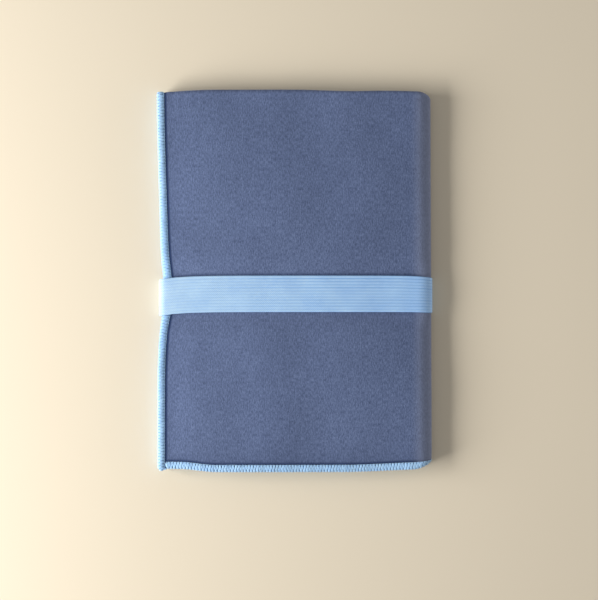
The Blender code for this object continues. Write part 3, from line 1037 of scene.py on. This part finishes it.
def makeLabel(finish):
    root = towel["crossShift"] + towel["width"] / 2 - seam["needleFrom"]
    root = root - label["stitchRadii"] * seam["needleRadius"] - label["fromStitches"]
    gap, ply = label["halfGap"], label["ply"] / 2
    turn = np.linspace(math.pi / 2, 3 * math.pi / 2, 9)
    runs = np.linspace(0, label["length"] - gap, 14)
    line = [(-r, gap) for r in runs[:-1]]
    line += [(gap * math.cos(a) - runs[-1], gap * math.sin(a)) for a in turn]
    line += [(-r, -gap) for r in runs[-2::-1]]
    line = np.array(line)
    outward = pathNormals(line)
    spans = np.linspace(-0.5, 0.5, 11) * label["width"]
    ring = [(s, 1) for s in spans] + [(s, -1) for s in spans[::-1]]
    level = towel["thickness"] / 2 + towel["puff"] + label["above"] + gap
    flat, uv = [], []
    for along, (x, z), (outX, outZ) in zip(pathLengths(line), line, outward):
        curl = label["curl"] * smooth(*label["curlFrom"], -x)
        for span, side in ring:
            lift = curl * abs(math.sin(span / label["width"] * label["curlWave"] + label["curlStart"]))
            flat.append((root + x + outX * side * ply, span - label["fromFold"],
                         level + z + outZ * side * ply + lift))
            uv.append((along, span))
    faces = tubeFaces(len(line), len(ring), flip=True)
    return newMesh("folded_care_label", place(np.array(flat)), faces, np.array(uv), finish)


clothNap = makeClothFinish(clothLook)
seamThread = makeThreadFinish("looper_thread", *threadLook["looper"])
needleThread = makeThreadFinish("sewing_thread", *threadLook["needle"])
elasticWeave = makeBandFinish(bandLook)
satinTape = makeLabelFinish(labelLook)

cloth = makeCloth(clothNap)
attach(cloth, "towel")
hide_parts("towel_cloth")

def seamSide(turn, long, foldAt):
    # turn is the way the seam faces, and foldAt is where a fold crosses it
    if long:
        reach, half = towel["width"] / 2, towel["length"] / 2 + seam["tail"]
        taper, rings = seam["taper"], seam["endRings"]
    else:
        reach, half = towel["length"] / 2, towel["width"] / 2 - seam["stopShort"]
        taper, rings = seam["shortTaper"], seam["foldRings"]
    return {"turn": turn, "reach": reach, "half": half, "taper": taper, "zones": [(foldAt, *rings)]}


sides = {
    "front_side": seamSide(0, True, -towel["endShift"]),
    "rear_side": seamSide(math.pi, True, towel["endShift"]),
    "outer_end": seamSide(math.pi / 2, False, towel["crossShift"]),
    "inner_end": seamSide(-math.pi / 2, False, -towel["crossShift"]),
}
trims = []
for number, (name, side) in enumerate(sides.items()):
    wraps, row = makeSeam(name, side, 20 + number, seamThread, needleThread)
    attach(wraps, "towel")
    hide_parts(f"{name}_overlock_threads")
    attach(row, "towel")
    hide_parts(f"{name}_needle_thread")
    trims += [wraps, row]

tape = makeLabel(satinTape)
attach(tape, "towel")
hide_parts("care_label")

strap, cutLength = makeBand(elasticWeave)
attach(strap, "band")
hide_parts("elastic_band")
rowX = band["lap"] / 2 - zigzag["fromLapEnd"]
for name, x in (("left", -rowX), ("right", rowX)):
    row = makeBandStitches(f"band_zigzag_{name}", x, needleThread)
    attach(row, "band")
    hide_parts(f"band_stitches_{name}")
print("pieces placed")

studio = {
    "floorColour": (0.80, 0.70, 0.54),
    "floorSize": 6,
    "floorTop": -0.2 * mm,
    "cameraHeight": 1.25,
    "shownHeight": 0.4349,  # from top to bottom of the view, at the towel
    "towelTop": 12 * mm,
    "sensorHeight": 24,
    "aim": (2.5 * mm, -13.4 * mm),
    "keyPower": 30,
    "keySize": (1.0, 0.5),
    "keyAt": (-1.1, -0.2, 0.39),
    "cardPower": 2.0,
    "cardSize": (1.0, 0.3),
    "cardAt": (0.9, 0.05, 0.16),
    "cardColour": (1.0, 0.96, 0.92),
    "skyColour": (0.95, 0.97, 1.0),
    "skyStrength": 0.29,
}


def makeFloor():
    bpy.ops.mesh.primitive_plane_add(size=studio["floorSize"], location=(0, 0, studio["floorTop"]))
    floor = bpy.context.object
    floor.name = "floor"
    finish, _, shader = newFinish("pale_board")
    setSockets(shader, {"Base Color": (*studio["floorColour"], 1), "Roughness": 0.95,
                        "Specular IOR Level": 0.08})
    floor.data.materials.append(finish)


def addLight(name, power, size, location, colour=(1, 1, 1)):
    data = bpy.data.lights.new(name, "AREA")
    data.energy = power
    data.color = colour
    data.shape = "RECTANGLE"
    data.size, data.size_y = size
    light = addObject(name, data)
    light.location = location
    light.rotation_euler = Vector(location).to_track_quat("Z", "Y").to_euler()


def makeCamera():
    data = bpy.data.cameras.new("overhead")
    data.sensor_fit = "VERTICAL"
    data.sensor_height = studio["sensorHeight"]
    distance = studio["cameraHeight"] - studio["towelTop"]
    data.lens = studio["sensorHeight"] * distance / studio["shownHeight"]
    camera = addObject("overhead", data)
    camera.location = (*studio["aim"], studio["cameraHeight"])
    bpy.context.scene.camera = camera


makeFloor()
addLight("window", studio["keyPower"], studio["keySize"], studio["keyAt"])
addLight("warm_card", studio["cardPower"], studio["cardSize"], studio["cardAt"], studio["cardColour"])
world = bpy.data.worlds.new("studio")
world.use_nodes = True
setSockets(world.node_tree.nodes["Background"],
           {"Color": (*studio["skyColour"], 1), "Strength": studio["skyStrength"]})
bpy.context.scene.world = world
bpy.context.scene.view_settings.view_transform = "Standard"
makeCamera()
print("floor, light and camera set")
